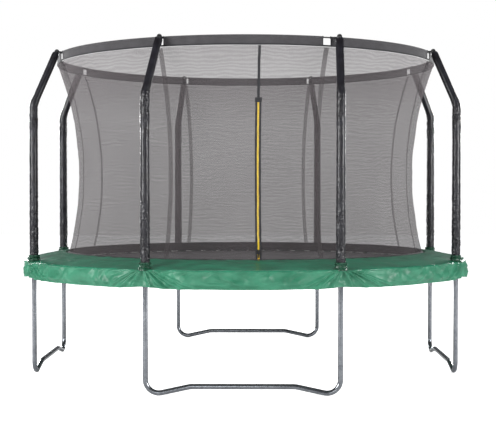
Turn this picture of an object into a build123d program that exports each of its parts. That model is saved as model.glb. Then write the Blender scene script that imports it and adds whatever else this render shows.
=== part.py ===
from build123d import *
import os
from math import asin, atan2, cos, degrees, hypot, radians, sin, tan

# A round backyard trampoline with a safety net. Millimetres. The origin is on the ground under
# the centre of the mat, +Z is up, and -Y is the side with the zipped doorway.
# Angles are measured anticlockwise from +X, seen from above.

os.makedirs("parts", exist_ok=True)

# ---------------------------------------------------------------- driving dimensions
SECTORS = 8
SECTOR_ANGLE = 360 / SECTORS
FIRST_POLE_ANGLE = -67.5  # the pole to the right of the doorway; numbers run anticlockwise
POLE_ANGLES = [FIRST_POLE_ANGLE + SECTOR_ANGLE * i for i in range(SECTORS)]
POLE_TWIST = [-23.0, 0, 0, 0, 0, 0, 0, -5.6]  # how far each bent pole has turned in its socket

FRAME_R = 1811.0  # centre line of the rails, the legs and the poles
TUBE_R = 19.0
TUBE_BORE_R = 17.5
RAIL_Z = 861.0
FIT = 0.2  # radial gap between a tube and what slides over it
RAIL_END_GAP = 0.16  # degrees between a rail's end and the middle of its tee

TEE_WALL = 1.8
TEE_SOCKET_WALL = 1.5
TEE_ARM = 70.0
TEE_SOCKET_Z = 790.0
TEE_FLOOR = 3.8
STUB_TOP_Z = 958.0
STUB_R = 18.6

LEG_SEAM_Z = 185.0
SPIGOT_R = TUBE_BORE_R - FIT
SPIGOT_BORE_R = 15.8
SPIGOT_LENGTH = 60.0
FOOT_BEND_R = 95.0
FOOT_RISE = 12.1  # degrees, from the foot bend up to the raised middle
LEG_MIDDLE_Z = 65.0
LEG_MIDDLE_BEND_R = 150.0
CHORD_HALF = FRAME_R * sin(radians(SECTOR_ANGLE / 2))
CHORD_R = FRAME_R * cos(radians(SECTOR_ANGLE / 2))

POLE_R = 16.0
POLE_BORE_R = 14.5
POLE_SPLICE_Z = 1500.0
POLE_SPLICE_LENGTH = 70.0
POLE_BEND_Z = 2137.0
POLE_BEND_R = 150.0
POLE_TIP_Z = 2568.0
POLE_TIP_IN = 190.0
FOAM_R = 30.0
FOAM_FOOT_Z = 965.0
SLEEVE_R = 33.0
SLEEVE_BORE_R = 30.4
SLEEVE_FOOT_Z = 912.0
SLEEVE_FOOT_R = 25.0
SLEEVE_FOOT_BORE_R = 23.6
SLEEVE_TOP_GAP = 14.0  # from the sleeve's top end to the pole's tip, along the pole
CAP_R = 18.5
CAP_DEPTH = 32.0

RING_R = 1579.0
RING_Z = 2564.0
ROD_R = 5.0
EYE_R = 9.0
EYE_LENGTH = 24.0
FERRULE_R = 6.5
FERRULE_LENGTH = 70.0

BAND_POCKET_R = 8.7
BAND_POCKET_BORE_R = 7.2
BAND_FOOT_Z = 2498.0
BAND_HEM = 12.0
BAND_THICK = 3.0
NOTCH_HALF_ANGLE = 2.0

NET_THICK = 2.0
NET_WAIST_R = 1404.0
NET_WAIST_Z = 1590.0
NET_CURVE_R = 2480.0  # the net bows inwards along this arc between the mat and the top ring
NET_FOOT_Z = 957.0
NET_TOP_Z = 2496.0
NET_GAP = 0.03  # degrees left at each side of a panel
SKIRT_BAND_TOP = (1487.0, 953.5)
SKIRT_BAND_FOOT = (1556.0, 881.0)
SKIRT_BAND_THICK = 2.6

ZIP_ANGLE = 274.3
ZIP_TOP_Z = 2098.0
ZIP_FOOT_Z = 958.0
ZIP_HALF_WIDTH = 22.0
CHAIN_HALF_WIDTH = 7.0
CHAIN_GAP = 1.0
CHAIN_BASE = 1.6
CHAIN_THICK = 2.5
TAPE_THICK = 1.0
ZIP_SLOT_HALF = 12.0
SLIDER_Z = 1010.0
SLIDER_LENGTH = 34.0
SLIDER_WIDTH = 18.0
SLIDER_PLATE = 2.0
SLIDER_FIT = 0.3
PIN_R = 1.2
PIN_FIT = 0.06
PIN_Y = -2.0
PIN_OUT = 9.0
PULL_LENGTH = 42.0
PULL_WIDTH = 9.0
PULL_THICK = 2.0
PULL_EYE_WALL = 0.9
GARAGE_SIZE = (50.0, 34.0)
STRAP_WIDTH = 19.0

MAT_R = 1592.0
MAT_Z = 870.0
MAT_THICK = 2.0
SPRINGS_PER_SECTOR = 9
SPRING_COUNT = SECTORS * SPRINGS_PER_SECTOR
SPRING_STEP = 360 / SPRING_COUNT
FIRST_SPRING_ANGLE = FIRST_POLE_ANGLE + SPRING_STEP / 2
RING_WIRE_R = 2.0
RING_BASE_R = 1597.0
RING_BASE_HALF = 20.0
RING_APEX_R = 1627.0
TAB_WIDTH = 22.0
TAB_REACH = 40.0
TAB_WALL = 1.7
SPRING_Z = 871.0
SPRING_R = 11.0
SPRING_WIRE = 3.0
BARREL_FROM = 1640.0
BARREL_TO = 1784.0
HOOK_HOLE_R = 4.0
LOOP_CORD_R = 2.0

PAD_INNER = (1512.0, 958.0)  # radius and height of the upper inner edge
PAD_OUTER = (1845.0, 898.5)  # radius and height of the upper outer edge
PAD_THICK = 20.0
PAD_EDGE_R = 9.5
PAD_SKIN = 1.0
PAD_GAP = 0.05  # degrees left at each side of a pad section
PAD_HOLE_R = 26.0
SKIRT_FOOT_Z = 772.0
SKIRT_THICK = 1.2
SKIRT_TOP_DROP = 6.0
PAD_STRAP_ANGLES = (10.0, 35.0)  # from the pole at a section's start
PAD_STRAP_WIDTH = 22.0
PAD_STRAP_THICK = 1.5

SCREW_R = 2.0
SCREW_HEAD_R = 4.5
SCREW_HEAD = 2.4
LEG_SCREW_Z = 812.0
POLE_SCREW_Z = 925.0


# ---------------------------------------------------------------- helpers
def radial_plane(angle):
    """Upright plane through the centre of the trampoline: local x outwards, local y up."""
    a = radians(angle)
    return Plane(origin=(0, 0, 0), x_dir=(cos(a), sin(a), 0), z_dir=(sin(a), -cos(a), 0))


def polar(radius, angle, height=0.0):
    return Vector(radius * cos(radians(angle)), radius * sin(radians(angle)), height)


def pole_plane(index):
    """Upright plane of a bent pole: local x runs inwards from the pole's foot, local y up."""
    a = radians(POLE_ANGLES[index] + 180 + POLE_TWIST[index])
    foot = polar(FRAME_R, POLE_ANGLES[index])
    return Plane(origin=foot, x_dir=(cos(a), sin(a), 0), z_dir=(sin(a), -cos(a), 0))


def tube_along(plane, points, radii, outer, bore=0.0):
    """Round tube, or a bar where there is no bore, along a path of straights and arcs."""
    with BuildPart() as tube:
        with BuildLine(plane) as route:
            if len(points) > 2:
                FilletPolyline(*points, radius=radii)
            else:
                Line(*points)
        with BuildSketch(Plane(origin=route.line @ 0, z_dir=route.line % 0)):
            Circle(outer)
            if bore:
                Circle(bore, mode=Mode.SUBTRACT)
        sweep()
    return tube.part


def bar(start, end, radius):
    """Round bar between two points in space."""
    start, end = Vector(*start), Vector(*end)
    with BuildPart() as made:
        with BuildSketch(Plane(origin=start, z_dir=end - start)):
            Circle(radius)
        extrude(amount=(end - start).length)
    return made.part


def ring_tube(radius, height, outer, bore, start, arc):
    """Part of a round tube bent into a ring about the vertical axis."""
    with BuildPart() as made:
        with BuildSketch(radial_plane(start)):
            with Locations((radius, height)):
                Circle(outer)
                if bore:
                    Circle(bore, mode=Mode.SUBTRACT)
        revolve(axis=Axis.Z, revolution_arc=arc)
    return made.part


def arc_angle(length, radius):
    """Angle that a length takes up on a circle, in degrees."""
    return degrees(length / radius)


def net_rise(height):
    """Angle of a height on the net's curve, seen from the curve's centre, in degrees."""
    return degrees(asin((height - NET_WAIST_Z) / NET_CURVE_R))


def net_strip(inside, outside, low, high):
    """Outline of a layer that follows the net's curve, by its distances outside the curve."""
    centre = (NET_WAIST_R + NET_CURVE_R, NET_WAIST_Z)
    start = 180 - net_rise(high)
    size = net_rise(high) - net_rise(low)
    with BuildSketch() as strip:
        with BuildLine():
            back = CenterArc(centre, NET_CURVE_R - inside, start, size)
            front = CenterArc(centre, NET_CURVE_R - outside, start, size)
            Line(back @ 0, front @ 0)
            Line(back @ 1, front @ 1)
        make_face()
    return strip.sketch


def zip_layer(half_from, half_to, inside, outside, low, high):
    """One layer of the zip on its left and right sides, between two half widths."""
    with BuildPart() as made:
        for side in (-1, 1):
            middle = side * (half_from + half_to) / 2
            plane = radial_plane(ZIP_ANGLE)
            with BuildSketch(plane.offset(middle)):
                add(net_strip(inside, outside, low, high))
            extrude(amount=(half_to - half_from) / 2, both=True)
    return made.part


def save(part, name):
    part.label = name
    export_step(part, f"parts/{name}.step")


# ---------------------------------------------------------------- steel frame
def make_top_rail(start):
    """One eighth of the top ring, with a hole for each spring's hook in its inner wall."""
    ends = RAIL_END_GAP
    with BuildPart() as rail:
        add(ring_tube(FRAME_R, RAIL_Z, TUBE_R, TUBE_BORE_R, start + ends, SECTOR_ANGLE - 2 * ends))
        for j in range(SPRINGS_PER_SECTOR):
            angle = start + SPRING_STEP * (j + 0.5)
            inner = polar(FRAME_R - TUBE_R - 5, angle, SPRING_Z)
            axis = polar(FRAME_R - TUBE_R / 2, angle, SPRING_Z)
            add(bar(inner, axis, HOOK_HOLE_R), mode=Mode.SUBTRACT)
    return rail.part


def make_tee(index):
    """Fitting that joins two rails, the leg under them and the pole above them."""
    angle = POLE_ANGLES[index]
    outer = TUBE_R + FIT + TEE_WALL
    half = arc_angle(TEE_ARM, FRAME_R)
    over = 1.0
    foot = polar(FRAME_R, angle)
    with BuildPart() as tee:
        add(ring_tube(FRAME_R, RAIL_Z, outer, 0, angle - half, 2 * half))
        with BuildSketch(Plane(origin=foot).offset(TEE_SOCKET_Z)):
            Circle(TUBE_R + FIT + TEE_SOCKET_WALL)
        extrude(amount=RAIL_Z - TEE_SOCKET_Z)
        with BuildSketch(Plane(origin=foot).offset(RAIL_Z)):
            Circle(STUB_R)
        extrude(amount=STUB_TOP_Z - RAIL_Z)
        bore = TUBE_R + FIT
        add(ring_tube(FRAME_R, RAIL_Z, bore, 0, angle - half - over, 2 * (half + over)),
            mode=Mode.SUBTRACT)
        with BuildSketch(Plane(origin=foot).offset(TEE_SOCKET_Z)):
            Circle(bore)
        extrude(amount=RAIL_Z - bore - TEE_FLOOR - TEE_SOCKET_Z, mode=Mode.SUBTRACT)
        with BuildSketch(Plane(origin=foot).offset(RAIL_Z + outer + FIT)):
            Circle(POLE_R + FIT)
        extrude(amount=STUB_TOP_Z - RAIL_Z, mode=Mode.SUBTRACT)
        for height in (LEG_SCREW_Z, POLE_SCREW_Z):
            hole_end = polar(FRAME_R + outer + over, angle, height)
            add(bar(polar(FRAME_R, angle, height), hole_end, SCREW_R + FIT), mode=Mode.SUBTRACT)
    return tee.part


def make_upright(index):
    """Straight leg tube from its seam up into its tee."""
    angle = POLE_ANGLES[index]
    top = RAIL_Z - TUBE_R - FIT - TEE_FLOOR - 1.0
    with BuildPart() as upright:
        with BuildSketch(Plane(origin=polar(FRAME_R, angle)).offset(LEG_SEAM_Z)):
            Circle(TUBE_R)
            Circle(TUBE_BORE_R, mode=Mode.SUBTRACT)
        extrude(amount=top - LEG_SEAM_Z)
        outside = polar(FRAME_R + TUBE_R + 1, angle, LEG_SCREW_Z)
        add(bar(polar(FRAME_R, angle, LEG_SCREW_Z), outside, SCREW_R + FIT), mode=Mode.SUBTRACT)
    return upright.part


def leg_plane(direction):
    """Upright plane of a W-shaped leg: local x runs along it, local y up."""
    a = radians(direction)
    return Plane(origin=polar(CHORD_R, direction), x_dir=(-sin(a), cos(a), 0),
                 z_dir=(cos(a), sin(a), 0))


def make_leg_base(direction):
    """Bent ground tube of a leg, with a narrowed spigot at each end for its uprights."""
    turn = (90 + FOOT_RISE) / 2
    corner_z = TUBE_R + FOOT_BEND_R - FOOT_BEND_R * tan(radians(turn))
    middle_half = CHORD_HALF - (LEG_MIDDLE_Z - corner_z) / tan(radians(FOOT_RISE))
    points = [
        (-CHORD_HALF, LEG_SEAM_Z - 1), (-CHORD_HALF, corner_z), (-middle_half, LEG_MIDDLE_Z),
        (middle_half, LEG_MIDDLE_Z), (CHORD_HALF, corner_z), (CHORD_HALF, LEG_SEAM_Z - 1),
    ]
    radii = [FOOT_BEND_R, LEG_MIDDLE_BEND_R, LEG_MIDDLE_BEND_R, FOOT_BEND_R]
    neck = 6.0
    with BuildPart() as base:
        add(tube_along(leg_plane(direction), points, radii, TUBE_R, SPIGOT_BORE_R))
        for side in (-1, 1):
            end = leg_plane(direction).from_local_coords(Vector(side * CHORD_HALF, 0, 0))
            with BuildSketch(Plane(origin=end).offset(LEG_SEAM_Z - neck)):
                Circle(SPIGOT_R)
                Circle(SPIGOT_BORE_R, mode=Mode.SUBTRACT)
            extrude(amount=SPIGOT_LENGTH + neck)
    return base.part


# ---------------------------------------------------------------- net poles
POLE_SLANT = hypot(POLE_TIP_IN, POLE_TIP_Z - POLE_BEND_Z)
SLANT_X = POLE_TIP_IN / POLE_SLANT
SLANT_Y = (POLE_TIP_Z - POLE_BEND_Z) / POLE_SLANT


def on_slant(before_tip):
    """Point on a pole's slanted axis, by its distance before the tip."""
    return (POLE_TIP_IN - SLANT_X * before_tip, POLE_TIP_Z - SLANT_Y * before_tip)


def make_pole_lower(index):
    """Straight lower pole; its screw hole is inside the tee's stub."""
    angle = POLE_ANGLES[index]
    foot_z = RAIL_Z + TUBE_R + TEE_WALL + 3 * FIT + 1.0
    with BuildPart() as pole:
        with BuildSketch(Plane(origin=polar(FRAME_R, angle)).offset(foot_z)):
            Circle(POLE_R)
            Circle(POLE_BORE_R, mode=Mode.SUBTRACT)
        extrude(amount=POLE_SPLICE_Z - 0.5 - foot_z)
        outside = polar(FRAME_R + POLE_R + 1, angle, POLE_SCREW_Z)
        add(bar(polar(FRAME_R, angle, POLE_SCREW_Z), outside, SCREW_R + FIT), mode=Mode.SUBTRACT)
    return pole.part


def make_pole_upper(index):
    """Bent upper pole with a narrowed spigot that drops into the lower one."""
    with BuildPart() as pole:
        points = [(0, POLE_SPLICE_Z), (0, POLE_BEND_Z), (POLE_TIP_IN, POLE_TIP_Z)]
        spigot_bore = POLE_BORE_R - 1.6
        add(tube_along(pole_plane(index), points, POLE_BEND_R, POLE_R, spigot_bore))
        foot = polar(FRAME_R, POLE_ANGLES[index])
        with BuildSketch(Plane(origin=foot).offset(POLE_SPLICE_Z - POLE_SPLICE_LENGTH)):
            Circle(POLE_BORE_R - FIT)
            Circle(spigot_bore, mode=Mode.SUBTRACT)
        extrude(amount=POLE_SPLICE_LENGTH + 6)
    return pole.part


def make_foam(index):
    """Foam tube round a pole."""
    points = [(0, FOAM_FOOT_Z), (0, POLE_BEND_Z), on_slant(CAP_DEPTH + 4)]
    return tube_along(pole_plane(index), points, POLE_BEND_R, FOAM_R, POLE_R + FIT)


def make_sleeve(index):
    """Film sleeve over the foam, drawn in round the tee's stub at its foot."""
    points = [(0, FOAM_FOOT_Z), (0, POLE_BEND_Z), on_slant(SLEEVE_TOP_GAP)]
    with BuildPart() as sleeve:
        add(tube_along(pole_plane(index), points, POLE_BEND_R, SLEEVE_R, SLEEVE_BORE_R))
        with BuildSketch(pole_plane(index)):
            Polygon((SLEEVE_FOOT_BORE_R, SLEEVE_FOOT_Z), (SLEEVE_FOOT_R, SLEEVE_FOOT_Z),
                    (SLEEVE_R, FOAM_FOOT_Z), (SLEEVE_BORE_R, FOAM_FOOT_Z), align=None)
        revolve(axis=Axis(polar(FRAME_R, POLE_ANGLES[index]), (0, 0, 1)))
    return sleeve.part


def make_cap(index):
    """Rounded plug over a pole's tip, with an arm and an eye that carry the top ring."""
    plane = pole_plane(index)
    tip = plane.from_local_coords(Vector(*on_slant(0), 0))
    below = plane.from_local_coords(Vector(*on_slant(CAP_DEPTH), 0))
    direction = (tip - below).normalized()
    ring_angle = degrees(atan2(tip.Y, tip.X))
    eye = polar(RING_R, ring_angle, RING_Z)
    along = polar(EYE_LENGTH / 2, ring_angle + 90)
    with BuildPart() as cap:
        add(bar(below, tip, CAP_R))
        with Locations(tip):
            Sphere(CAP_R)
        add(bar(tip, eye, EYE_R * 0.75))
        add(bar(eye - along, eye + along, EYE_R))
        add(bar(below - direction, tip, POLE_R + FIT), mode=Mode.SUBTRACT)
        half = arc_angle(EYE_LENGTH, RING_R)
        add(ring_tube(RING_R, RING_Z, ROD_R + FIT, 0, ring_angle - half, 2 * half),
            mode=Mode.SUBTRACT)
    return cap.part


# ---------------------------------------------------------------- soft goods
def make_top_band(start):
    """Band from one pole to the next: a hem all along, and the ring's pocket between notches."""
    end = NET_GAP
    with BuildPart() as band:
        with BuildSketch(radial_plane(start + end)):
            with Locations((RING_R, BAND_FOOT_Z + BAND_HEM / 2)):
                Rectangle(BAND_THICK, BAND_HEM)
        revolve(axis=Axis.Z, revolution_arc=SECTOR_ANGLE - 2 * end)
        with BuildSketch(radial_plane(start + NOTCH_HALF_ANGLE)):
            with Locations((RING_R, (BAND_FOOT_Z + RING_Z) / 2)):
                Rectangle(BAND_THICK, RING_Z - BAND_FOOT_Z)
            with Locations((RING_R, RING_Z)):
                Circle(BAND_POCKET_R)
                Circle(BAND_POCKET_BORE_R, mode=Mode.SUBTRACT)
        revolve(axis=Axis.Z, revolution_arc=SECTOR_ANGLE - 2 * NOTCH_HALF_ANGLE)
    return band.part


def make_net_panel(start):
    """Net from one pole to the next; the doorway's panel is slit behind the zip."""
    with BuildPart() as panel:
        with BuildSketch(radial_plane(start + NET_GAP)):
            add(net_strip(-NET_THICK / 2, NET_THICK / 2, NET_FOOT_Z, NET_TOP_Z))
        revolve(axis=Axis.Z, revolution_arc=SECTOR_ANGLE - 2 * NET_GAP)
        if start < ZIP_ANGLE < start + SECTOR_ANGLE:
            with BuildSketch(radial_plane(ZIP_ANGLE)):
                add(net_strip(-5 * NET_THICK, 5 * NET_THICK, NET_FOOT_Z - 20, ZIP_TOP_Z))
            extrude(amount=ZIP_SLOT_HALF, both=True, mode=Mode.SUBTRACT)
    return panel.part


def make_bottom_band(start):
    """Close-woven band that joins the net's foot to the mat's edge."""
    top, foot = SKIRT_BAND_TOP, SKIRT_BAND_FOOT
    with BuildPart() as band:
        with BuildSketch(radial_plane(start + NET_GAP)):
            Polygon(top, foot, (foot[0] + SKIRT_BAND_THICK, foot[1]),
                    (top[0] + SKIRT_BAND_THICK, top[1]), align=None)
        revolve(axis=Axis.Z, revolution_arc=SECTOR_ANGLE - 2 * NET_GAP)
    return band.part


PAD_SLOPE = atan2(PAD_OUTER[1] - PAD_INNER[1], PAD_OUTER[0] - PAD_INNER[0])
PAD_WIDTH = hypot(PAD_OUTER[0] - PAD_INNER[0], PAD_OUTER[1] - PAD_INNER[1])
PAD_MIDDLE = (
    (PAD_INNER[0] + PAD_OUTER[0]) / 2 + PAD_THICK / 2 * sin(PAD_SLOPE),
    (PAD_INNER[1] + PAD_OUTER[1]) / 2 - PAD_THICK / 2 * cos(PAD_SLOPE),
)
SKIRT_R = PAD_MIDDLE[0] + (PAD_WIDTH / 2 - PAD_EDGE_R) * cos(PAD_SLOPE) + PAD_EDGE_R + 0.5


def pad_section(start, inset, hollow, end_gap):
    """Sloping padded section between two poles, cut round each pole's foot."""
    with BuildPart() as pad:
        with BuildSketch(radial_plane(start + end_gap)):
            with Locations(Location((*PAD_MIDDLE, 0), (0, 0, degrees(PAD_SLOPE)))):
                RectangleRounded(PAD_WIDTH - 2 * inset, PAD_THICK - 2 * inset, PAD_EDGE_R - inset)
                if hollow:
                    RectangleRounded(PAD_WIDTH - 2 * hollow, PAD_THICK - 2 * hollow,
                                     PAD_EDGE_R - hollow, mode=Mode.SUBTRACT)
        revolve(axis=Axis.Z, revolution_arc=SECTOR_ANGLE - 2 * end_gap)
        for angle in (start, start + SECTOR_ANGLE):
            with BuildSketch(Plane(origin=polar(FRAME_R, angle)).offset(RAIL_Z)):
                Circle(PAD_HOLE_R + inset)
            extrude(amount=100, mode=Mode.SUBTRACT)
    return pad.part


def make_pad_skirt(start):
    """Valance that hangs from the pad's outer edge over the rails."""
    top = PAD_OUTER[1] - SKIRT_TOP_DROP
    with BuildPart() as skirt:
        with BuildSketch(radial_plane(start + PAD_GAP)):
            with Locations((SKIRT_R + SKIRT_THICK / 2, (top + SKIRT_FOOT_Z) / 2)):
                Rectangle(SKIRT_THICK, top - SKIRT_FOOT_Z)
        revolve(axis=Axis.Z, revolution_arc=SECTOR_ANGLE - 2 * PAD_GAP)
    return skirt.part


# ---------------------------------------------------------------- mat and springs
def make_tab():
    """Webbing folded over the mat's edge and round a ring's base wire, on the +X side."""
    with BuildPart() as tab:
        with BuildSketch(Plane.XZ):
            with Locations((RING_BASE_R, MAT_Z)):
                Circle(RING_WIRE_R + FIT + TAB_WALL)
            with Locations((RING_BASE_R - TAB_REACH / 2, MAT_Z)):
                Rectangle(TAB_REACH, MAT_THICK + 2 * FIT + 2 * TAB_WALL)
            with Locations((RING_BASE_R, MAT_Z)):
                Circle(RING_WIRE_R + FIT, mode=Mode.SUBTRACT)
            slot = TAB_REACH + MAT_R + FIT - RING_BASE_R
            with Locations((MAT_R + FIT - slot / 2, MAT_Z)):
                Rectangle(slot, MAT_THICK + 2 * FIT, mode=Mode.SUBTRACT)
        extrude(amount=TAB_WIDTH / 2, both=True)
    return tab.part


def make_v_ring():
    """Closed triangle of wire between the webbing and a spring's hook, on the +X side."""
    corner = 4.0
    half = RING_BASE_HALF
    with BuildPart() as v_ring:
        with BuildLine(Plane.XY.offset(MAT_Z)) as route:
            FilletPolyline((RING_BASE_R, -half), (RING_APEX_R, 0), (RING_BASE_R, half),
                           radius=corner, close=True)
        with BuildSketch(Plane(origin=route.line @ 0, z_dir=route.line % 0)):
            Circle(RING_WIRE_R)
        sweep()
    return v_ring.part


def make_spring():
    """Extension spring on the +X side: barrel, a bar across each end and a hook from each bar."""
    wire_r = SPRING_WIRE / 2
    bar_half = SPRING_R - wire_r
    bar_in = wire_r + 0.5
    ring_hook = [(BARREL_FROM + bar_in, SPRING_Z), (BARREL_FROM - 3, SPRING_Z + 5),
                 (RING_APEX_R - 8, SPRING_Z + 5), (RING_APEX_R - 8, SPRING_Z - 7)]
    rail_hook = [(BARREL_TO - bar_in, SPRING_Z), (FRAME_R - 8, SPRING_Z),
                 (FRAME_R - 8, SPRING_Z - 9)]
    with BuildPart() as spring:
        with BuildSketch(Plane.YZ.offset(BARREL_FROM)):
            with Locations((0, SPRING_Z)):
                Circle(SPRING_R)
                Circle(SPRING_R - SPRING_WIRE, mode=Mode.SUBTRACT)
        extrude(amount=BARREL_TO - BARREL_FROM)
        for x in (BARREL_FROM + bar_in, BARREL_TO - bar_in):
            add(bar((x, -bar_half, SPRING_Z), (x, bar_half, SPRING_Z), wire_r))
        add(tube_along(Plane.XZ, ring_hook, [2.5, 3.0], wire_r))
        add(tube_along(Plane.XZ, rail_hook, 3.0, wire_r))
    return spring.part


def make_net_loop():
    """Elastic loop's cord from the net's band, over the webbing and down through a ring."""
    points = [(SKIRT_BAND_FOOT[0] + 1, SKIRT_BAND_FOOT[1] - 4), (RING_BASE_R + 9, MAT_Z + 7.5),
              (RING_BASE_R + 9, MAT_Z - 5)]
    return tube_along(Plane.XZ, points, 3.0, LOOP_CORD_R)


def spaced_round(part, count, first_angle):
    """Copies of a part made on the +X side, spaced evenly round the trampoline."""
    with BuildPart() as made:
        with PolarLocations(0, count, start_angle=first_angle):
            add(part)
    return made.part


def collected(pieces):
    """Separate solids kept in one node."""
    with BuildPart() as made:
        for piece in pieces:
            add(piece)
    return made.part


# ---------------------------------------------------------------- zip slider and pull
def zip_plane():
    """Plane on the net at the slider: local x along the net, y up the zip, z outwards."""
    rise = radians(net_rise(SLIDER_Z))
    radius = NET_WAIST_R + NET_CURVE_R * (1 - cos(rise))
    origin = polar(radius, ZIP_ANGLE, SLIDER_Z)
    outward = polar(cos(rise), ZIP_ANGLE, -sin(rise))
    return Plane(origin=origin, x_dir=polar(1, ZIP_ANGLE + 90), z_dir=outward)


def zip_point(x, y, z):
    return zip_plane().from_local_coords(Vector(x, y, z))


def make_slider():
    """Two plates round the chain, joined by a thin wedge between its rows, with a pin in front."""
    chain_top = CHAIN_BASE + CHAIN_THICK
    front = chain_top + SLIDER_FIT
    back = CHAIN_BASE - SLIDER_FIT
    ear_out = PIN_OUT + 2.4
    with BuildPart() as slider:
        with BuildSketch(zip_plane().offset(front)):
            RectangleRounded(SLIDER_WIDTH, SLIDER_LENGTH, 4)
        extrude(amount=SLIDER_PLATE)
        with BuildSketch(zip_plane().offset(back)):
            RectangleRounded(SLIDER_WIDTH, SLIDER_LENGTH, 4)
        extrude(amount=-SLIDER_PLATE)
        with BuildSketch(zip_plane().offset(back - 0.1)):
            with Locations((0, 4 - SLIDER_LENGTH / 2)):
                Rectangle(2 * (CHAIN_GAP - SLIDER_FIT), 6)
        extrude(amount=front - back + 0.2)
        with BuildSketch(zip_plane().offset(front)):
            for side in (-1, 1):
                with Locations((side * (SLIDER_WIDTH / 2 - 0.5), 0)):
                    Rectangle(1, SLIDER_LENGTH - 10)
        extrude(amount=-1.2)
        with BuildSketch(zip_plane().offset(front)):
            for side in (-1, 1):
                with Locations((side * 5.8, PIN_Y)):
                    Rectangle(1.8, 7)
        extrude(amount=ear_out - front)
        add(bar(zip_point(-5.5, PIN_Y, PIN_OUT), zip_point(5.5, PIN_Y, PIN_OUT), PIN_R))
    return slider.part


def make_pull():
    """Tab that hangs on the slider's pin."""
    eye = PIN_R + PIN_FIT + PULL_EYE_WALL
    with BuildPart() as pull:
        with BuildSketch(zip_plane().offset(PIN_OUT - PULL_THICK / 2)):
            with Locations((0, PIN_Y - PULL_LENGTH / 2)):
                RectangleRounded(PULL_WIDTH - 0.6, PULL_LENGTH, 3)
            with Locations((0, PIN_Y - PULL_LENGTH + 7)):
                Circle(2, mode=Mode.SUBTRACT)
        extrude(amount=PULL_THICK)
        add(bar(zip_point(-4.2, PIN_Y, PIN_OUT), zip_point(4.2, PIN_Y, PIN_OUT), eye))
        add(bar(zip_point(-6, PIN_Y, PIN_OUT), zip_point(6, PIN_Y, PIN_OUT), PIN_R + PIN_FIT),
            mode=Mode.SUBTRACT)
    return pull.part


def make_zip_trim():
    """Patch over the top of the zip, and the strap from it up to the top band."""
    patch_top = ZIP_TOP_Z + 2 + GARAGE_SIZE[1]
    with BuildPart() as trim:
        with BuildSketch(radial_plane(ZIP_ANGLE)):
            add(net_strip(CHAIN_BASE, CHAIN_BASE + CHAIN_THICK, ZIP_TOP_Z + 2, patch_top))
        extrude(amount=GARAGE_SIZE[0] / 2, both=True)
        with BuildSketch(radial_plane(ZIP_ANGLE)):
            add(net_strip(CHAIN_BASE, CHAIN_BASE + TAPE_THICK, patch_top + 1, NET_TOP_Z))
        extrude(amount=STRAP_WIDTH / 2, both=True)
    return trim.part


def make_screw(index, height, tube_r, head_from):
    """Pan-head screw that locks a tube in its tee, driven from outside."""
    angle = POLE_ANGLES[index]
    inner = polar(FRAME_R + tube_r - 6, angle, height)
    seat = polar(FRAME_R + head_from, angle, height)
    outside = polar(FRAME_R + head_from + SCREW_HEAD, angle, height)
    with BuildPart() as screw:
        add(bar(inner, seat, SCREW_R))
        add(bar(seat, outside, SCREW_HEAD_R))
    return screw.part


# ---------------------------------------------------------------- build and write every node
for i in range(SECTORS):
    save(make_top_rail(POLE_ANGLES[i]), f"top_rail_{i + 1}")
    save(make_upright(i), f"leg_upright_{i + 1}")
    save(make_pole_lower(i), f"pole_lower_{i + 1}")
    save(make_pole_upper(i), f"pole_upper_{i + 1}")

for side, direction in (("front", -90), ("right", 0), ("back", 90), ("left", 180)):
    save(make_leg_base(direction), f"leg_base_{side}")

save(collected(make_tee(i) for i in range(SECTORS)), "frame_tees")
save(collected(make_foam(i) for i in range(SECTORS)), "pole_foam")
save(collected(make_sleeve(i) for i in range(SECTORS)), "pole_sleeves")
save(collected(make_cap(i) for i in range(SECTORS)), "pole_caps")

tee_outer = TUBE_R + FIT + TEE_WALL
leg_screws = [make_screw(i, LEG_SCREW_Z, TUBE_R, tee_outer + FIT) for i in range(SECTORS)]
pole_screws = [make_screw(i, POLE_SCREW_Z, POLE_R, STUB_R + FIT) for i in range(SECTORS)]
save(collected(leg_screws + pole_screws), "frame_screws")

rod_gap = arc_angle(0.5, RING_R)
rod = ring_tube(RING_R, RING_Z, ROD_R, 0, rod_gap, SECTOR_ANGLE - 2 * rod_gap)
save(spaced_round(rod, SECTORS, 0), "ring_rods")
ferrule_half = arc_angle(FERRULE_LENGTH / 2, RING_R)
ferrule = ring_tube(RING_R, RING_Z, FERRULE_R, ROD_R + FIT, -ferrule_half, 2 * ferrule_half)
save(spaced_round(ferrule, SECTORS, 0), "ring_ferrules")

save(collected(make_top_band(a) for a in POLE_ANGLES), "net_top_band")
save(collected(make_net_panel(a) for a in POLE_ANGLES), "net_wall")
save(collected(make_bottom_band(a) for a in POLE_ANGLES), "net_bottom_band")
save(spaced_round(make_net_loop(), SPRING_COUNT // 2, FIRST_SPRING_ANGLE), "net_loops")

cover = [pad_section(a, 0, PAD_SKIN, PAD_GAP) for a in POLE_ANGLES]
save(collected(cover), "pad_cover")
foam = [pad_section(a, PAD_SKIN + FIT, 0, 2 * PAD_GAP) for a in POLE_ANGLES]
save(collected(foam), "pad_foam")
save(collected(make_pad_skirt(a) for a in POLE_ANGLES), "pad_skirt")
strap_arc = arc_angle(PAD_STRAP_WIDTH, FRAME_R)
strap_bore = TUBE_R + FIT
strap_outer = strap_bore + PAD_STRAP_THICK
straps = [
    ring_tube(FRAME_R, RAIL_Z, strap_outer, strap_bore, a + offset - strap_arc / 2, strap_arc)
    for a in POLE_ANGLES for offset in PAD_STRAP_ANGLES
]
save(collected(straps), "pad_straps")

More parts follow.
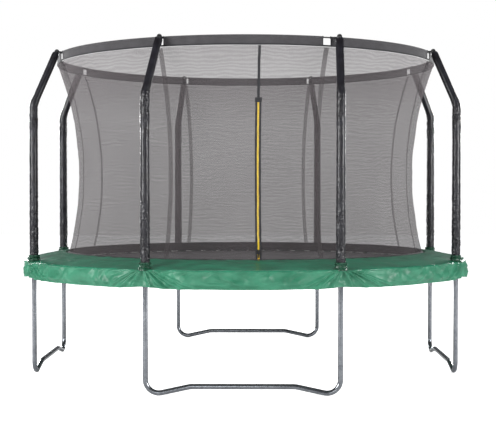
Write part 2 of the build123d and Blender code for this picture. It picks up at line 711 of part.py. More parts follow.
with BuildPart() as mat:
    with BuildSketch(Plane.XY.offset(MAT_Z - MAT_THICK / 2)):
        Circle(MAT_R)
    extrude(amount=MAT_THICK)
save(mat.part, "mat")
save(spaced_round(make_tab(), SPRING_COUNT, FIRST_SPRING_ANGLE), "mat_tabs")
save(spaced_round(make_v_ring(), SPRING_COUNT, FIRST_SPRING_ANGLE), "mat_rings")
save(spaced_round(make_spring(), SPRING_COUNT, FIRST_SPRING_ANGLE), "springs")

chain_top = CHAIN_BASE + CHAIN_THICK
tapes = zip_layer(CHAIN_HALF_WIDTH + FIT, ZIP_HALF_WIDTH, CHAIN_BASE, CHAIN_BASE + TAPE_THICK,
                  ZIP_FOOT_Z, ZIP_TOP_Z)
save(tapes, "zip_tapes")
chain = zip_layer(CHAIN_GAP, CHAIN_HALF_WIDTH, CHAIN_BASE, chain_top, ZIP_FOOT_Z, ZIP_TOP_Z)
save(chain, "zip_chain")
save(make_zip_trim(), "zip_trim")
save(make_slider(), "zip_slider")
save(make_pull(), "zip_pull")
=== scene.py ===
import bpy
import numpy as np
from math import asin, atan2, cos, hypot, pi, radians, sin, sqrt
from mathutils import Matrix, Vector, noise


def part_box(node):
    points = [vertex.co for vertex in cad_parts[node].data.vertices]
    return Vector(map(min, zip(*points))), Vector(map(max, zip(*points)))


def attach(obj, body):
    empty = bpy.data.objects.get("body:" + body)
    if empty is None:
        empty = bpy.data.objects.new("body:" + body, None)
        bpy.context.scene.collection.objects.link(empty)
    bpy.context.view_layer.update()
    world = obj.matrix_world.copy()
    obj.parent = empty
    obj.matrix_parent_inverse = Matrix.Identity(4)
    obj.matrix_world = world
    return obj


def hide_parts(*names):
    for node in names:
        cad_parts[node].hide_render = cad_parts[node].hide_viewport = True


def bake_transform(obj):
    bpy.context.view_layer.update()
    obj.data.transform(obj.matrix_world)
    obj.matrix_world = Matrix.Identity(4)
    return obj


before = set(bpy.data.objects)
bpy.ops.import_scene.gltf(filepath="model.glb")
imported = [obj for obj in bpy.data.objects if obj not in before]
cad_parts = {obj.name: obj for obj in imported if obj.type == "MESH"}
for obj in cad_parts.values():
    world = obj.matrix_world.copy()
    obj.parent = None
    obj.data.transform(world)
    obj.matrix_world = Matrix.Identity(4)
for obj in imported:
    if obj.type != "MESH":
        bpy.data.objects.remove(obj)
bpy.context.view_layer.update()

# ---------------------------------------------------------------- sizes, in metres, from the frame
SECTORS = 8
FIRST_POLE = radians(-67.5)
SECTOR = 2 * pi / SECTORS
POLES = [FIRST_POLE + SECTOR * i for i in range(SECTORS)]
POLE_TWIST = {0: radians(-23.0), 7: radians(-5.6)}

leg_low, leg_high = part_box("leg_upright_1")
leg_middle = (leg_low + leg_high) / 2
FRAME_R = hypot(leg_middle.x, leg_middle.y)
mat_low, mat_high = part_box("mat")
MAT_R = mat_high.x
MAT_Z = (mat_low.z + mat_high.z) / 2
rod_low, rod_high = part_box("ring_rods")
RING_Z = (rod_low.z + rod_high.z) / 2
ROD_R = (rod_high.z - rod_low.z) / 2
RING_R = rod_high.x - ROD_R
band_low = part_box("net_top_band")[0]
net_low, net_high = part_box("net_wall")
foot_low, foot_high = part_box("net_bottom_band")
skirt_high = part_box("pad_skirt")[1]
SKIRT_R = skirt_high.y - 0.0006
sleeve_low, sleeve_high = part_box("pole_sleeves")
tape_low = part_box("zip_tapes")[0]
trim_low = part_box("zip_trim")[0]

NET_WAIST_R = 1.404
NET_WAIST_Z = 1.590
NET_CURVE_R = 2.480
ZIP_ANGLE = radians(274.3)
SPRINGS = 72
SEAM_HALF_WIDTH = 0.017
CUFF_FOOT_Z = 0.890
CUFF_TOP_Z = 0.948
CUFF_TIE_R = 0.0425
CUFF_TIE_Z = 0.923
ZIP_PATCH_HEIGHT = 0.034
ZIP_PATCH_HALF = 0.025
ZIP_STRAP_HALF = 0.0095


def smooth(x):
    x = np.clip(x, 0, 1)
    return x * x * (3 - 2 * x)


def net_radius(z):
    return NET_WAIST_R + NET_CURVE_R - np.sqrt(NET_CURVE_R ** 2 - (z - NET_WAIST_Z) ** 2)


def wobble(*values):
    """Smooth noise from -1 to 1 at a point."""
    point = (list(values) + [0.0, 0.0])[:3]
    return noise.noise(Vector(point))


wobbles = np.vectorize(lambda x, y, z: noise.noise(Vector((x, y, z))))


# ---------------------------------------------------------------- mesh helpers
def grid(name, points, uv, closed_u=False, closed_v=False):
    """Mesh from points[u][v] with matching uv coordinates, in metres."""
    nu, nv = points.shape[:2]
    ku = nu if closed_u else nu - 1
    kv = nv if closed_v else nv - 1
    i, j = np.meshgrid(np.arange(ku), np.arange(kv), indexing="ij")
    i2, j2 = (i + 1) % nu, (j + 1) % nv
    quads = np.stack([i * nv + j, i2 * nv + j, i2 * nv + j2, i * nv + j2], -1).reshape(-1, 4)
    mesh = bpy.data.meshes.new(name)
    mesh.from_pydata(points.reshape(-1, 3).tolist(), [], quads.tolist())
    layer = mesh.uv_layers.new(name="UVMap")
    du = uv[1, 0] - uv[0, 0]
    dv = uv[0, 1] - uv[0, 0]
    at = uv[i, j]
    corners = np.stack([at, at + du, at + du + dv, at + dv], 2).reshape(-1, 2)
    layer.data.foreach_set("uv", corners.ravel().astype(np.float32))
    mesh.polygons.foreach_set("use_smooth", np.ones(len(mesh.polygons), bool))
    mesh.update()
    piece = bpy.data.objects.new(name, mesh)
    bpy.context.scene.collection.objects.link(piece)
    return piece


def thicken(piece, thickness, offset=0.0):
    solid = piece.modifiers.new("cloth", "SOLIDIFY")
    solid.thickness = thickness
    solid.offset = offset
    apply_modifiers(piece)


def apply_modifiers(piece):
    bpy.context.view_layer.update()
    seen = piece.evaluated_get(bpy.context.evaluated_depsgraph_get())
    made = bpy.data.meshes.new_from_object(seen)
    piece.modifiers.clear()
    piece.data = made


def joined(name, pieces):
    """One object from several meshes that share a material."""
    bpy.ops.object.select_all(action="DESELECT")
    for piece in pieces:
        piece.select_set(True)
    bpy.context.view_layer.objects.active = pieces[0]
    bpy.ops.object.join()
    pieces[0].name = name
    return pieces[0]


def finish_piece(piece, body, material, replaces=()):
    piece.data.materials.clear()
    piece.data.materials.append(material)
    if body:
        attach(piece, body)
    if replaces:
        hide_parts(*replaces)
    return piece


def cylinder_points(radius, angle, z):
    return np.stack([radius * np.cos(angle), radius * np.sin(angle), z + 0 * angle], -1)


def ring_grid(name, turns, across, shape, closed_v=False):
    """Closed ring: shape(angle, t) gives radius, height and distance along the section."""
    angle, t = np.meshgrid(np.linspace(0, 2 * pi, turns, endpoint=False),
                           np.linspace(0, 1, across, endpoint=not closed_v), indexing="ij")
    radius, z, along = shape(angle, t)
    uv = np.stack([angle * FRAME_R, along + 0 * angle], -1)
    return grid(name, cylinder_points(radius, angle, z), uv, True, closed_v)


def tube(name, centres, radius, sides=12):
    """Tube round a list of centres; radius may be a list of the same length."""
    centres = np.asarray(centres, float)
    ahead = np.gradient(centres, axis=0)
    ahead /= np.linalg.norm(ahead, axis=1, keepdims=True)
    side = np.cross(ahead[0], (0.3, 0.5, 0.81))
    sides_list = []
    for direction in ahead:
        side = side - direction * side.dot(direction)
        side /= np.linalg.norm(side)
        sides_list.append(side.copy())
    first = np.array(sides_list)
    second = np.cross(ahead, first)
    around = np.linspace(0, 2 * pi, sides, endpoint=False)
    radius = np.broadcast_to(np.asarray(radius, float).reshape(-1, 1, 1), (len(centres), 1, 1)) \
        if np.ndim(radius) < 2 else radius[..., None]
    across = np.cos(around)[None, :, None]
    beside = np.sin(around)[None, :, None]
    points = centres[:, None] + radius * (first[:, None] * across + second[:, None] * beside)
    steps = np.linalg.norm(np.diff(centres, axis=0), axis=1)
    along = np.concatenate([[0], np.cumsum(steps)])
    uv = np.stack(np.broadcast_arrays(along[:, None], around[None] * float(np.mean(radius))), -1)
    return grid(name, points, uv, False, True)


# ---------------------------------------------------------------- material helpers
def new_material(name):
    material = bpy.data.materials.new(name)
    material.use_nodes = True
    material.node_tree.nodes.clear()
    return material


def node(material, kind, settings=None, **inputs):
    """Adds a node; inputs are values or sockets, named with _ for a space, or i0, i1 by place."""
    made = material.node_tree.nodes.new("ShaderNode" + kind)
    for key, value in (settings or {}).items():
        setattr(made, key, value)
    for key, value in inputs.items():
        place = key[1:]
        socket = made.inputs[int(place)] if key[0] == "i" and place.isdigit() \
            else made.inputs[key.replace("_", " ")]
        if isinstance(value, bpy.types.NodeSocket):
            material.node_tree.links.new(value, socket)
        else:
            socket.default_value = value
    return made


def math(material, operation, a, b=0.0, c=0.0):
    return node(material, "Math", {"operation": operation}, i0=a, i1=b, i2=c).outputs[0]


def ramp(material, factor, *stops):
    made = node(material, "ValToRGB", Fac=factor)
    line = made.color_ramp
    for k, (place, colour) in enumerate(stops):
        stop = line.elements[k] if k < 2 else line.elements.new(place)
        stop.position = place
        stop.color = (*colour, 1) if hasattr(colour, "__len__") else (colour, colour, colour, 1)
    return made.outputs["Color"]


def span(material, value, low, high):
    """Maps a 0 to 1 value to a range."""
    return node(material, "MapRange", Value=value, i3=low, i4=high).outputs[0]


def noise_of(material, where, scale, detail=4.0, rough=0.55, distortion=0.0):
    return node(material, "TexNoise", Vector=where, Scale=scale, Detail=detail, Roughness=rough,
                Distortion=distortion).outputs["Fac"]


def object_place(material):
    return node(material, "TexCoord").outputs["Object"]


def uv_place(material):
    return node(material, "TexCoord").outputs["UV"]


def stretched(material, where, scale):
    return node(material, "Mapping", Vector=where, Scale=scale).outputs[0]


def bumps(material, *layers):
    """Bumps on top of each other: (height, strength, distance)."""
    normal = None
    for height, strength, distance in layers:
        made = node(material, "Bump", Strength=strength, Distance=distance, Height=height)
        if normal:
            material.node_tree.links.new(normal, made.inputs["Normal"])
        normal = made.outputs[0]
    return normal


def surface(material, **inputs):
    shader = node(material, "BsdfPrincipled", **inputs)
    node(material, "OutputMaterial", Surface=shader.outputs[0])
    return material


def weave_height(material, where, pitch_u, pitch_v):
    """Plain weave from uv in metres: threads along u and v that pass over and under."""
    parts = node(material, "SeparateXYZ", Vector=where)
    u = math(material, "MULTIPLY", parts.outputs["X"], pi / pitch_u)
    v = math(material, "MULTIPLY", parts.outputs["Y"], pi / pitch_v)
    both = math(material, "MULTIPLY", math(material, "SINE", u), math(material, "SINE", v))
    return math(material, "MULTIPLY_ADD", both, 0.5, 0.5)


# ---------------------------------------------------------------- materials
def make_steel(name, dark, light, rough, scale):
    m = new_material(name)
    place = object_place(m)
    spangle = node(m, "TexVoronoi", Vector=place, Scale=scale).outputs["Color"]
    cloud = noise_of(m, place, 9.0, 5.0)
    tone = node(m, "Mix", {"data_type": "FLOAT"}, i0=0.3, i2=cloud,
                i3=node(m, "SeparateColor", Color=spangle).outputs[0]).outputs[0]
    fine = noise_of(m, place, 420.0, 2.0)
    return surface(m, Base_Color=ramp(m, tone, (0.2, dark), (0.8, light)), Metallic=0.9,
                   Roughness=span(m, cloud, rough - 0.08, rough + 0.12),
                   Normal=bumps(m, (cloud, 0.15, 0.002), (fine, 0.12, 0.0004)))


def make_net():
    m = new_material("net_mesh")
    where = uv_place(m)
    parts = node(m, "SeparateXYZ", Vector=where)
    drift = noise_of(m, stretched(m, where, (1.0, 2.4, 1.0)), 3.0, 3.0)
    bent = math(m, "MULTIPLY_ADD", drift, 0.10, parts.outputs["Y"])
    lines = math(m, "SINE", math(m, "MULTIPLY", bent, 2 * pi / 0.0265))
    lines = math(m, "MULTIPLY_ADD", lines, 0.5, 0.5)
    hole_u = math(m, "SINE", math(m, "MULTIPLY", parts.outputs["X"], pi / 0.0022))
    hole_v = math(m, "SINE", math(m, "MULTIPLY", bent, pi / 0.0026))
    holes = math(m, "ABSOLUTE", math(m, "MULTIPLY", hole_u, hole_v))
    cloud = noise_of(m, where, 1.3, 3.0)
    cover = math(m, "MULTIPLY_ADD", lines, 0.06, 0.525)
    top = math(m, "MULTIPLY_ADD", parts.outputs["Y"], 2.6, -5.5)
    top = node(m, "Clamp", Value=top).outputs[0]
    cover = math(m, "MULTIPLY_ADD", top, 0.13, cover)
    cover = math(m, "MULTIPLY_ADD", cloud, 0.10, cover)
    cover = math(m, "SUBTRACT", cover, math(m, "MULTIPLY", holes, 0.10))
    upright = math(m, "MULTIPLY_ADD", drift, 0.05, parts.outputs["X"])
    upright = math(m, "SINE", math(m, "MULTIPLY", upright, 2 * pi / 0.021))
    cover = math(m, "MULTIPLY_ADD", upright, 0.014, cover)
    colour = ramp(m, lines, (0.0, (0.200, 0.179, 0.187)), (1.0, (0.160, 0.142, 0.149)))
    # Painted light: the thread colour is scaled lighter towards the top of the net, standing in for
    # the brighter light that the upper net catches.
    painted_top_light = math(m, "MULTIPLY_ADD", top, 0.12, 0.58)
    colour = node(m, "VectorMath", {"operation": "SCALE"}, Vector=colour, Scale=painted_top_light).outputs[0]
    thread = node(m, "BsdfDiffuse", Color=colour, Roughness=0.9)
    through = node(m, "BsdfTranslucent", Color=(0.17, 0.155, 0.16, 1))
    cloth = node(m, "MixShader", Fac=0.2, i1=thread.outputs[0], i2=through.outputs[0])
    open_air = node(m, "BsdfTransparent")
    mixed = node(m, "MixShader", Fac=cover, i1=open_air.outputs[0], i2=cloth.outputs[0])
    node(m, "OutputMaterial", Surface=mixed.outputs[0])
    return m


def make_cloth(name, dark, light, pitch, rough=0.85, sheen=0.25):
    m = new_material(name)
    where = uv_place(m)
    weave = weave_height(m, where, pitch, pitch)
    cloud = noise_of(m, where, 14.0, 5.0)
    streak = noise_of(m, stretched(m, where, (9.0, 160.0, 1.0)), 3.0, 3.0)
    tone = math(m, "MULTIPLY_ADD", streak, 0.45, math(m, "MULTIPLY", cloud, 0.55))
    return surface(m, Base_Color=ramp(m, tone, (0.3, dark), (0.72, light)), Roughness=rough,
                   Sheen_Weight=sheen, Sheen_Roughness=0.5,
                   Normal=bumps(m, (cloud, 0.25, 0.003), (weave, 0.5, pitch * 0.4)))


def make_pvc(name, dark, light, gloss):
    """Coated cloth: gloss, soft creases, a faint scrim of threads under the coat."""
    m = new_material(name)
    where = uv_place(m)
    scrim = weave_height(m, where, 0.0016, 0.0016)
    cloud = noise_of(m, stretched(m, where, (1.0, 2.2, 1.0)), 5.0, 5.0, 0.6)
    crease = node(m, "TexNoise", {"noise_type": "RIDGED_MULTIFRACTAL"}, Scale=9.0, Detail=3.0,
                  Roughness=0.5, Distortion=0.6, Vector=stretched(m, where, (1.0, 1.8, 1.0)))
    dust = noise_of(m, where, 60.0, 4.0)
    rough = math(m, "MULTIPLY_ADD", cloud, 0.14, 0.46 - 0.2 * gloss)
    rough = math(m, "MULTIPLY_ADD", dust, 0.12, rough)
    return surface(m, Base_Color=ramp(m, cloud, (0.32, dark), (0.68, light)), Roughness=rough,
                   IOR=1.45, Coat_Weight=0.6 * gloss, Coat_Roughness=0.2,
                   Normal=bumps(m, (cloud, 0.25, 0.010), (crease.outputs["Fac"], 0.12, 0.004),
                                (scrim, 0.1, 0.0003)))


def make_film():
    """Black film over foam: sharp little crinkles that catch the light."""
    m = new_material("sleeve_film_black")
    where = uv_place(m)
    cells = node(m, "TexVoronoi", {"feature": "DISTANCE_TO_EDGE"}, Scale=55.0, Vector=where)
    crinkle = node(m, "TexNoise", {"noise_type": "RIDGED_MULTIFRACTAL"}, Scale=34.0, Detail=4.0,
                   Roughness=0.6, Distortion=1.2, Vector=where)
    cloud = noise_of(m, where, 12.0, 4.0)
    amount = node(m, "Attribute", {"attribute_name": "crinkle"}).outputs["Fac"]
    height = math(m, "MULTIPLY", crinkle.outputs["Fac"], amount)
    edge = math(m, "MULTIPLY", cells.outputs["Distance"], amount)
    return surface(m, Base_Color=ramp(m, cloud, (0.35, (0.006, 0.005, 0.007)),
                                      (0.7, (0.016, 0.016, 0.022))),
                   Roughness=span(m, cloud, 0.26, 0.42), Specular_IOR_Level=0.3,
                   Coat_Weight=0.3, Coat_Roughness=0.12,
                   Normal=bumps(m, (height, 1.0, 0.010), (edge, 0.8, 0.008)))


def make_plastic(name, dark, light, rough):
    m = new_material(name)
    place = object_place(m)
    cloud = noise_of(m, place, 20.0, 4.0)
    grain = noise_of(m, place, 900.0, 2.0)
    return surface(m, Base_Color=ramp(m, cloud, (0.35, dark), (0.7, light)),
                   Roughness=span(m, cloud, rough - 0.08, rough + 0.1),
                   Normal=bumps(m, (grain, 0.2, 0.0003), (cloud, 0.1, 0.001)))


STEEL = make_steel("galvanised_tube", (0.15, 0.16, 0.178), (0.30, 0.315, 0.34), 0.15, 55.0)
ZINC = make_steel("zinc_plate", (0.42, 0.42, 0.40), (0.62, 0.62, 0.60), 0.28, 90.0)
NET = make_net()
BAND = make_cloth("band_weave", (0.026, 0.024, 0.027), (0.058, 0.055, 0.060), 0.0014)
PIPING = make_cloth("piping_black", (0.008, 0.008, 0.010), (0.020, 0.020, 0.024), 0.0008)
WEBBING = make_cloth("webbing_black", (0.007, 0.007, 0.009), (0.022, 0.022, 0.026), 0.0012)
DARK_BAND = make_cloth("foot_band_weave", (0.006, 0.0055, 0.007), (0.016, 0.015, 0.018), 0.0013,
                       0.9, 0.1)
MAT = make_cloth("mat_weave", (0.026, 0.025, 0.027), (0.046, 0.044, 0.048), 0.0022, 0.7, 0.1)
PAD_GREEN = make_pvc("pad_pvc", (0.003, 0.105, 0.053), (0.008, 0.190, 0.100), 0.9)
SKIRT_GREEN = make_pvc("skirt_pvc", (0.013, 0.128, 0.067), (0.040, 0.225, 0.130), 0.25)
CUFF = make_pvc("cuff_pvc", (0.001, 0.034, 0.015), (0.003, 0.072, 0.034), 0.5)
FILM = make_film()
BLACK = make_plastic("cap_plastic", (0.010, 0.010, 0.011), (0.024, 0.024, 0.026), 0.35)
YELLOW = make_plastic("zip_teeth", (0.78, 0.50, 0.012), (0.90, 0.66, 0.030), 0.4)

node_material = {
    "frame_tees": STEEL, "frame_screws": ZINC, "ring_ferrules": ZINC, "ring_rods": BLACK,
    "pole_caps": BLACK, "pad_straps": WEBBING,
    "mat_tabs": WEBBING, "mat_rings": ZINC, "net_loops": PIPING, "zip_slider": BLACK,
    "zip_pull": BLACK,
}
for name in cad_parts:
    if name.startswith(("top_rail", "leg_", "pole_lower", "pole_upper")):
        node_material[name] = STEEL
for name, material in node_material.items():
    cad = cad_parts[name]
    for material_slot in cad.material_slots:
        material_slot.material = material


# ---------------------------------------------------------------- net wall
def net_shape(angle, t):
    z = net_low.z + t * (net_high.z - net_low.z)
    radius = net_radius(z)
    held = smooth(t / 0.12) * smooth((1 - t) / 0.08)
    ripple = wobbles(angle * 5, z * 6, 0) * 0.004 + wobbles(angle * 14, z * 22, 4) * 0.0016
    at_zip = 1 - np.exp(-((angle - ZIP_ANGLE) * FRAME_R / 0.09) ** 2)
    return radius + ripple * held * at_zip, z, z


def net_seam(pole):
    """Overlap of two net panels, just outside the net, below a pole's tip."""
    half = SEAM_HALF_WIDTH / NET_WAIST_R
    angle, t = np.meshgrid(np.linspace(pole - half, pole + half, 6), np.linspace(0.004, 0.996, 110),
                           indexing="ij")
    radius, z, along = net_shape(angle, t)
    bulge = 0.0022 + 0.0012 * np.cos((angle - pole) / half * pi / 2)
    uv = np.stack([angle * NET_WAIST_R, along], -1)
    return grid("seam", cylinder_points(radius + bulge, angle, z), uv)


def make_net_wall():
    piece = ring_grid("net_cloth", 576, 110, net_shape)
    finish_piece(piece, "frame", NET, ["net_wall"])
    seams = joined("net_seams", [net_seam(pole) for pole in POLES])
    finish_piece(seams, "frame", NET)


def make_foot_band():
    top_r = float(net_radius(net_low.z))
    foot_r = foot_high.x - 0.0013

    def shape(angle, t):
        z = net_low.z + 0.004 + t * (foot_low.z - net_low.z - 0.004)
        ripple = wobbles(angle * 18, t * 3, 2) * 0.003 * np.sin(pi * t)
        return top_r + 0.0006 + (foot_r - top_r) * t + ripple, z, t * 0.104

    piece = ring_grid("net_foot_band", 432, 14, shape)
    thicken(piece, 0.0016)
    finish_piece(piece, None, DARK_BAND, ["net_bottom_band"])
    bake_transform(piece)


# ---------------------------------------------------------------- top band
NOTCH = radians(1.15)
HEM = 0.012


def band_section(angle_from, angle_to, steps):
    """Pocket of one sector: down the front, round the foot and up the back."""
    around = np.linspace(radians(250), radians(-70), 15)
    tail = 0.0016
    pocket = 0.0082
    front = [(tail, z) for z in np.linspace(band_low.z, RING_Z - pocket * 1.3, 9)]
    back = [(-tail, z) for z in np.linspace(RING_Z - pocket * 1.3, band_low.z, 9)]
    loop = [(pocket * cos(a), RING_Z + pocket * sin(a)) for a in around[::-1]]
    profile = np.array(front + loop + back)
    steps_v = np.linalg.norm(np.diff(profile, axis=0, append=profile[:1]), axis=1)
    along = np.concatenate([[0], np.cumsum(steps_v)[:-1]])
    angle = np.linspace(angle_from, angle_to, steps)
    u, r = np.meshgrid(angle, profile[:, 0], indexing="ij")
    z = np.broadcast_to(profile[:, 1], r.shape)
    low = np.clip((RING_Z - z) / (RING_Z - band_low.z), 0, 1)
    wave = wobbles(u * 9, z * 3, 1) * 0.004 * low * (1 - low * 0.5)
    lift = wobbles(u * 6, 0 * u, 7) * 0.0015 * low
    points = cylinder_points(RING_R + r + wave, u, z + lift)
    uv = np.stack([u * RING_R, np.broadcast_to(along, u.shape)], -1)
    return grid("band_part", points, uv, False, True), profile


def strip_ring(name, radius, z, width, thickness):
    def shape(angle, t):
        around = t * 2 * pi
        squareness = 0.45
        c, s = np.cos(around), np.sin(around)
        r = radius + thickness / 2 * np.sign(c) * np.abs(c) ** squareness
        height = z + width / 2 * np.sign(s) * np.abs(s) ** squareness
        return r, height + wobbles(angle * 6, 0 * angle, 7) * 0.001, t * 2 * width
    return ring_grid(name, 576, 16, shape, True)


def make_top_band():
    parts = []
    piping = []
    for pole in POLES:
        part, profile = band_section(pole + NOTCH, pole + SECTOR - NOTCH, 60)
        parts.append(part)
        for angle in (pole + NOTCH, pole + SECTOR - NOTCH):
            line = [(0.0014, band_low.z + 0.004)]
            line += [(0.0014, z) for z in np.linspace(band_low.z + 0.02, RING_Z - 0.012, 8)]
            line += [(0.0082 * cos(a), RING_Z + 0.0082 * sin(a))
                     for a in np.linspace(radians(-60), radians(240), 16)]
            centres = [(*(np.array((cos(angle), sin(angle))) * (RING_R + r)), z) for r, z in line]
            piping.append(tube("notch_piping", centres, 0.0028, 8))
    band = joined("top_band_cloth", parts)
    finish_piece(band, "frame", BAND, ["net_top_band"])
    hem = strip_ring("top_band_hem", RING_R, band_low.z + HEM / 2, HEM, 0.0062)
    finish_piece(hem, "frame", PIPING)
    edge = joined("top_band_piping", piping)
    finish_piece(edge, "frame", PIPING)


# ---------------------------------------------------------------- pole sleeves
def pole_frame(i):
    inward = POLES[i] + pi + POLE_TWIST.get(i, 0)
    foot = np.array((FRAME_R * cos(POLES[i]), FRAME_R * sin(POLES[i]), 0.0))
    return foot, np.array((cos(inward), sin(inward), 0.0))


POLE_BEND_Z = 2.137
POLE_BEND_R = 0.150
POLE_TIP_Z = 2.568
POLE_TIP_IN = 0.190


def pole_line(start_z, before_tip, step):
    """Inward offset and height along a pole's axis: upright, an arc, then slanted."""
    slant = atan2(POLE_TIP_IN, POLE_TIP_Z - POLE_BEND_Z)
    tangent = POLE_BEND_R * np.tan(slant / 2)
    run = hypot(POLE_TIP_IN, POLE_TIP_Z - POLE_BEND_Z) - tangent - before_tip
    upright = POLE_BEND_Z - tangent - start_z
    total = upright + POLE_BEND_R * slant + run
    line = []
    for s in np.linspace(0, total, int(total / step)):
        if s < upright:
            line.append((0.0, start_z + s))
        elif s < upright + POLE_BEND_R * slant:
            a = (s - upright) / POLE_BEND_R
            line.append((POLE_BEND_R * (1 - cos(a)), POLE_BEND_Z - tangent + POLE_BEND_R * sin(a)))
        else:
            rest = s - upright - POLE_BEND_R * slant + tangent
            line.append((rest * sin(slant), POLE_BEND_Z + rest * cos(slant)))
    return np.array(line)


def make_sleeves():
    pieces = []
    for i in range(SECTORS):
        foot, inward = pole_frame(i)
        line = pole_line(sleeve_low.z, 0.014, 0.004)
        centres = foot + inward * line[:, :1] + np.array((0, 0, 1.0)) * line[:, 1:]
        sides = 40
        around = np.linspace(0, 2 * pi, sides, endpoint=False)
        s, a = np.meshgrid(line[:, 1], around, indexing="ij")
        seed = i * 11.0
        body = 0.0322 - 0.0030 * smooth((s - POLE_BEND_Z) / 0.06)
        drawn = smooth((s - sleeve_low.z) / 0.055)
        body = 0.0246 + (body - 0.0246) * drawn
        end = smooth((sleeve_high.z - s) / 0.03)
        body = 0.022 + (body - 0.022) * end
        foot_folds = np.exp(-((s - sleeve_low.z) / 0.48) ** 2)
        bend_folds = np.exp(-((s - POLE_BEND_Z + 0.11) / 0.12) ** 2)
        amount = 0.30 + 0.9 * foot_folds + 0.75 * bend_folds
        amount = np.where(s > POLE_BEND_Z + 0.05, 0.08, amount)
        folds = wobbles(np.cos(a) * 1.6 + seed, np.sin(a) * 1.6, s * 24)
        sharp = 1 - 2 * np.abs(wobbles(np.cos(a) * 2.3 + seed, np.sin(a) * 2.3 + 5, s * 46))
        radius = body + (folds * 0.0030 + sharp * 0.0026) * amount
        piece = tube("sleeve_part", centres, radius, sides)
        layer = piece.data.attributes.new("crinkle", "FLOAT", "POINT")
        layer.data.foreach_set("value", np.clip(amount, 0, 1.3).ravel().astype(np.float32))
        pieces.append(piece)
    film = joined("pole_film", pieces)
    finish_piece(film, "frame", FILM, ["pole_sleeves", "pole_foam"])


# ---------------------------------------------------------------- pad and skirt
PAD_INNER = (1.512, 0.958)
PAD_OUTER = (1.845, 0.8985)
PAD_EDGE = 0.0095


def nearest_pole(angle):
    """Signed distance along the frame from the nearest pole."""
    away = (angle - FIRST_POLE + SECTOR / 2) % SECTOR - SECTOR / 2
    return away * FRAME_R


def pole_number(angle):
    return np.round((angle - FIRST_POLE) / SECTOR)


def pad_shape(angle, t):
    """Closed section: along the top from the inner edge outwards, and back underneath."""
    slope = np.arctan2(PAD_OUTER[1] - PAD_INNER[1], PAD_OUTER[0] - PAD_INNER[0])
    width = hypot(PAD_OUTER[0] - PAD_INNER[0], PAD_OUTER[1] - PAD_INNER[1])
    flat = width - 2 * PAD_EDGE
    round_length = pi * PAD_EDGE
    total = 2 * flat + 2 * round_length
    s = t * total
    along = np.select([s < flat, s < flat + round_length, s < 2 * flat + round_length],
                      [s, flat + PAD_EDGE * np.sin((s - flat) / PAD_EDGE),
                       2 * flat + round_length - s],
                      -PAD_EDGE * np.sin((s - 2 * flat - round_length) / PAD_EDGE))
    up = np.select([s < flat, s < flat + round_length, s < 2 * flat + round_length],
                   [0 * s + PAD_EDGE, PAD_EDGE * np.cos((s - flat) / PAD_EDGE), 0 * s - PAD_EDGE],
                   -PAD_EDGE * np.cos((s - 2 * flat - round_length) / PAD_EDGE))
    away = nearest_pole(angle)
    share = along / flat
    crown = 0.0035 * np.sin(pi * np.clip(share, 0, 1)) * (up > 0)
    dip = -0.006 * np.exp(-(away / 0.10) ** 2) * np.exp(-((share - 0.9) / 0.22) ** 2) * (up > 0)
    ripple = wobbles(angle * 16, share * 3, 3) * 0.0035 + wobbles(angle * 60, share * 7, 5) * 0.0012
    ripple += wobbles(angle * 4, share * 13, 2) * 0.0026 * np.sin(pi * np.clip(share, 0, 1))
    inner_wave = wobbles(angle * 24, 0 * angle, 8) * 0.004 * np.exp(-(share / 0.12) ** 2)
    seam = wobbles(angle * 95, 0 * angle, 6) * 0.0026 * np.exp(-((share - 1) / 0.09) ** 2)
    up = up + crown + dip + (ripple + seam) * (up > 0) + inner_wave * 0.6
    middle_r = PAD_INNER[0] + PAD_EDGE * np.cos(slope) + PAD_EDGE * np.sin(slope)
    middle_z = PAD_INNER[1] + PAD_EDGE * np.sin(slope) - PAD_EDGE * np.cos(slope)
    radius = middle_r + along * np.cos(slope) - up * np.sin(slope)
    z = middle_z + along * np.sin(slope) + up * np.cos(slope)
    return radius, z, s


def make_pad_top():
    piece = ring_grid("pad_top_cover", 1152, 60, pad_shape, True)
    finish_piece(piece, "frame", PAD_GREEN, ["pad_cover", "pad_foam"])


FOLDS = [(-0.012, -0.55, 0.010, 0.010), (-0.030, -1.25, 0.013, 0.012), (-0.055, -1.9, 0.014, 0.008),
         (0.010, 0.45, 0.010, 0.009), (0.026, 1.15, 0.012, 0.013), (0.050, 2.0, 0.014, 0.011),
         (0.085, 2.5, 0.015, 0.006)]
SKIRT_TOP_Z = 0.8985
SKIRT_DROP = SKIRT_TOP_Z - 0.772


